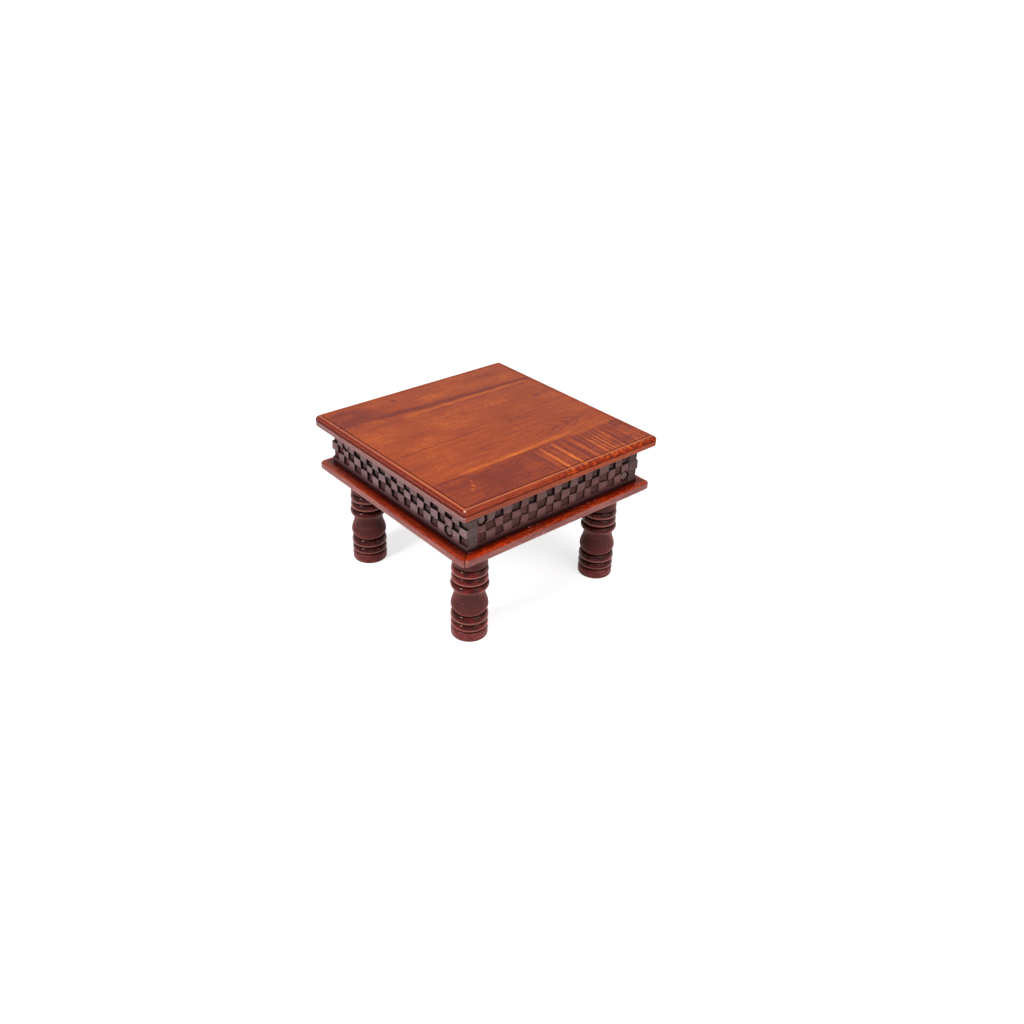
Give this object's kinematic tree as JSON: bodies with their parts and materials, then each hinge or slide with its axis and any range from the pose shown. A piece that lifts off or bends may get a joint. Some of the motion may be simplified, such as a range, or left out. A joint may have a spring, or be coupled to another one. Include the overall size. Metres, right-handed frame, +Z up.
{
  "type": "bajot low table",
  "caption": "Low square wooden table with a moulded plank top, a box apron carved in chequer blocks, a mitred base frame and turned legs.",
  "frame": {"origin": "on the floor, under the middle of the top", "axes": "+Z up, the front faces -Y, +X to the right of someone looking at the front"},
  "size_m": [0.3048, 0.3048, 0.2032],
  "materials": {
    "top_wood": "satin varnish over honey-brown sheesham grain",
    "carved_wood": "hand carved, dull dark-brown wax",
    "plug_wood": "end grain, dull dark-brown wax",
    "base_wood": "gloss red-brown varnish",
    "leg_wood": "turned, dark red-brown polish",
    "block_wood": "bare sawn wood",
    "steel": "zinc-plated steel"
  },
  "bodies": {
    "root": {"apron_back": "carved_wood", "apron_front": "carved_wood", "apron_left": "carved_wood", "apron_right": "carved_wood", "apron_screw_back_left_end": "steel", "apron_screw_back_right_end": "steel", "apron_screw_front_left_end": "steel", "apron_screw_front_right_end": "steel", "apron_screw_left_left_end": "steel", "apron_screw_left_right_end": "steel", "apron_screw_right_left_end": "steel", "apron_screw_right_right_end": "steel", "base_screw_back_left_end": "steel", "base_screw_back_right_end": "steel", "base_screw_front_left_end": "steel", "base_screw_front_right_end": "steel", "base_screw_left_left_end": "steel", "base_screw_left_right_end": "steel", "base_screw_right_left_end": "steel", "base_screw_right_right_end": "steel", "base_strip_back": "base_wood", "base_strip_front": "base_wood", "base_strip_left": "base_wood", "base_strip_right": "base_wood", "cleat_left": "block_wood", "cleat_right": "block_wood", "cleat_screw_left_back": "steel", "cleat_screw_left_front": "steel", "cleat_screw_right_back": "steel", "cleat_screw_right_front": "steel", "corner_block_back_left": "block_wood", "corner_block_back_right": "block_wood", "corner_block_front_left": "block_wood", "corner_block_front_right": "block_wood", "leg_back_left": "leg_wood", "leg_back_right": "leg_wood", "leg_bolt_back_left": "steel", "leg_bolt_back_right": "steel", "leg_bolt_front_left": "steel", "leg_bolt_front_right": "steel", "leg_front_left": "leg_wood", "leg_front_right": "leg_wood", "screw_plug_back_left_end": "plug_wood", "screw_plug_back_right_end": "plug_wood", "screw_plug_front_left_end": "plug_wood", "screw_plug_front_right_end": "plug_wood", "screw_plug_left_left_end": "plug_wood", "screw_plug_left_right_end": "plug_wood", "screw_plug_right_left_end": "plug_wood", "screw_plug_right_right_end": "plug_wood", "top_board_back": "top_wood", "top_board_front": "top_wood", "top_board_middle": "top_wood", "top_screw_back_left": "steel", "top_screw_back_right": "steel", "top_screw_front_left": "steel", "top_screw_front_right": "steel"}
  },
  "joints": []
}
